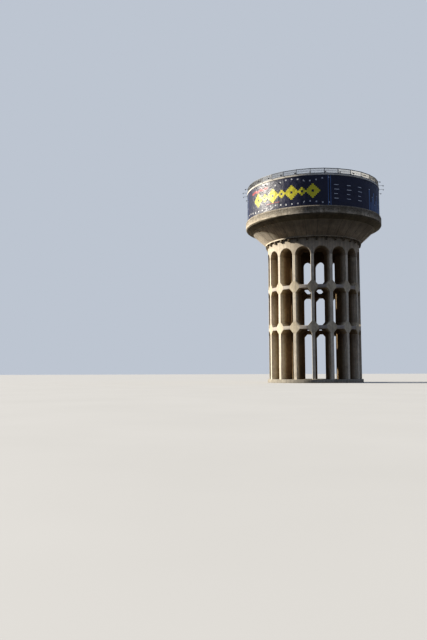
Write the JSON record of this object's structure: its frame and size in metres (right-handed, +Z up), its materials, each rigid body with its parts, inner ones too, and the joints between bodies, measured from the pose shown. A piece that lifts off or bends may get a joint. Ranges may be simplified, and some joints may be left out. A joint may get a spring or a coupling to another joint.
{
  "type": "water tower",
  "caption": "Round concrete water tower: tank with sign panels and parapet on a flared cone, over a tall open shaft of radial piers with ring slabs.",
  "frame": {"origin": "centre of the footing's underside, on the ground", "axes": "+Z up along the tower's axis; -Y points out through the centre of one bay, towards the side that the picture shows"},
  "size_m": [26.28, 26.28, 36.44],
  "materials": {
    "concrete": "sun-bleached cream board-marked concrete",
    "shaded_concrete": "grey-brown formed concrete with streaks",
    "weathered_concrete": "weathered concrete with lichen and dark stains",
    "navy_sign": "printed satin navy panel",
    "dark_steel": "painted steel, dark frames and greyer bars"
  },
  "bodies": {
    "root": {"footing_ring": "weathered_concrete", "pier_01": "concrete", "pier_02": "concrete", "pier_03": "concrete", "pier_04": "concrete", "pier_05": "concrete", "pier_06": "concrete", "pier_07": "concrete", "pier_08": "concrete", "pier_09": "concrete", "pier_10": "concrete", "pier_11": "concrete", "pier_12": "concrete", "pier_13": "concrete", "pier_14": "concrete", "pier_15": "concrete", "pier_16": "concrete", "ring_slab_lower": "concrete", "ring_slab_upper": "concrete", "arch_quarter_1": "concrete", "arch_quarter_2": "concrete", "arch_quarter_3": "concrete", "arch_quarter_4": "concrete", "corbelled_ledge": "concrete", "tank_floor": "shaded_concrete", "tank_cone_1": "shaded_concrete", "tank_cone_2": "shaded_concrete", "rim_beam_1": "weathered_concrete", "rim_beam_2": "weathered_concrete", "tank_wall_1": "concrete", "tank_wall_2": "concrete", "tank_wall_3": "concrete", "tank_wall_4": "concrete", "sign_panel_1": "navy_sign", "sign_panel_2": "navy_sign", "sign_panel_3": "navy_sign", "sign_panel_4": "navy_sign", "roof_slab": "weathered_concrete", "roof_hatch": "dark_steel", "parapet_1": "dark_steel", "parapet_2": "dark_steel", "parapet_3": "dark_steel", "parapet_4": "dark_steel"}
  },
  "joints": []
}
